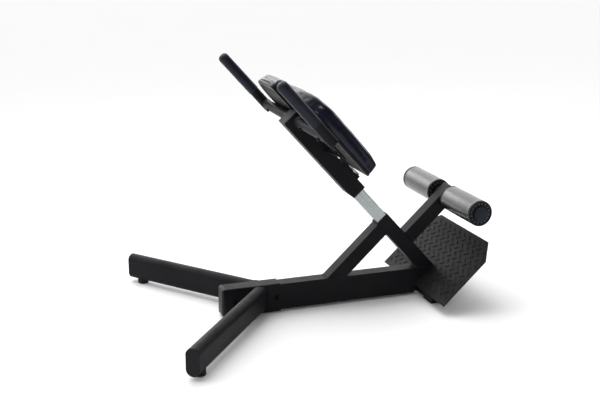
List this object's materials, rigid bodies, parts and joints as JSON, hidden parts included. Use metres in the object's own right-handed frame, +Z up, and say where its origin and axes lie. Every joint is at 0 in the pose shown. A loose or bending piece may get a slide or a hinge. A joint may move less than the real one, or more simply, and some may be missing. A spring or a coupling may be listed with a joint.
{
  "type": "roman chair",
  "caption": "Angled back-extension bench: V front legs, slanted post, sliding pad carriage with handles and clamp lever, turning ankle rollers, tread foot plate.",
  "frame": {"origin": "middle of the bench's bounding box, on the floor", "axes": "+X from the front legs to the foot plate, +Y across the bench to the user's left when lying on the pads, +Z up"},
  "size_m": [1.1324, 0.949, 0.8413],
  "materials": {
    "frame_paint": "satin charcoal powder coat",
    "mast_finish": "pale silver-grey satin",
    "tread_paint": "dark grey, pressed with short raised bars",
    "black_plastic": "black, moulded",
    "hub_plastic": "dark navy, smooth",
    "rubber": "dark grey rubber",
    "roller_foam": "satin grey foam skin",
    "vinyl": "very dark navy vinyl, glossy",
    "plywood": "dark stained board",
    "black_steel": "black oxide fasteners",
    "zinc": "bright zinc casting"
  },
  "bodies": {
    "frame": {"base_tube": "frame_paint", "front_sleeve": "frame_paint", "sleeve_cap": "black_plastic", "sleeve_bolts": "black_steel", "sleeve_nuts": "black_steel", "left_leg": "frame_paint", "right_leg": "frame_paint", "leg_caps": "black_plastic", "front_feet": "rubber", "foot_screws": "black_steel", "post": "frame_paint", "brace": "frame_paint", "mast": "mast_finish", "mast_plug": "black_plastic", "roller_arm": "frame_paint", "arm_cap": "black_plastic", "roller_axle": "mast_finish", "axle_washers": "black_plastic", "axle_screws": "zinc", "foot_plate": "tread_paint", "plate_ribs": "frame_paint", "rear_foot": "frame_paint", "rear_foot_link": "frame_paint", "rear_foot_caps": "black_plastic", "rear_foot_pads": "rubber"},
    "carriage": {"carriage_tube": "frame_paint", "carriage_cap": "black_plastic", "lower_bush": "black_plastic", "upper_bush": "black_plastic", "bush_screws": "black_steel", "cross_tube": "frame_paint", "left_handle": "frame_paint", "right_handle": "frame_paint", "handle_bolts": "black_steel", "left_grip": "rubber", "right_grip": "rubber", "left_wing": "frame_paint", "right_wing": "frame_paint", "left_board": "plywood", "right_board": "plywood", "left_pad": "vinyl", "right_pad": "vinyl", "pad_bolts": "black_steel", "pad_screws": "black_steel", "lock_block": "frame_paint"},
    "clamp": {"clamp_lever": "zinc", "clamp_screw": "black_steel", "clamp_shoe": "black_plastic"},
    "left_ankle_roller": {"left_roller": "roller_foam", "left_roller_core": "black_plastic", "left_roller_caps": "black_plastic", "left_hub": "hub_plastic"},
    "right_ankle_roller": {"right_roller": "roller_foam", "right_roller_core": "black_plastic", "right_roller_caps": "black_plastic", "right_hub": "hub_plastic"}
  },
  "joints": [
    {"name": "carriage_slide", "type": "slide", "parent": "frame", "child": "carriage", "axis": [-0.6665, 0, 0.7455], "range_m": [-0.1, 0.05]},
    {"name": "clamp_turn", "type": "hinge", "parent": "carriage", "child": "clamp", "pos_m": [0.07967, 0, 0.4665], "axis": [0.7455, 0, 0.6665], "range_deg": [0, 90]},
    {"name": "left_roller_spin", "type": "hinge", "parent": "frame", "child": "left_ankle_roller", "pos_m": [0.48348, 0, 0.35159], "axis": [0, 1, 0], "continuous": true},
    {"name": "right_roller_spin", "type": "hinge", "parent": "frame", "child": "right_ankle_roller", "pos_m": [0.48348, 0, 0.35159], "axis": [0, 1, 0], "continuous": true}
  ]
}
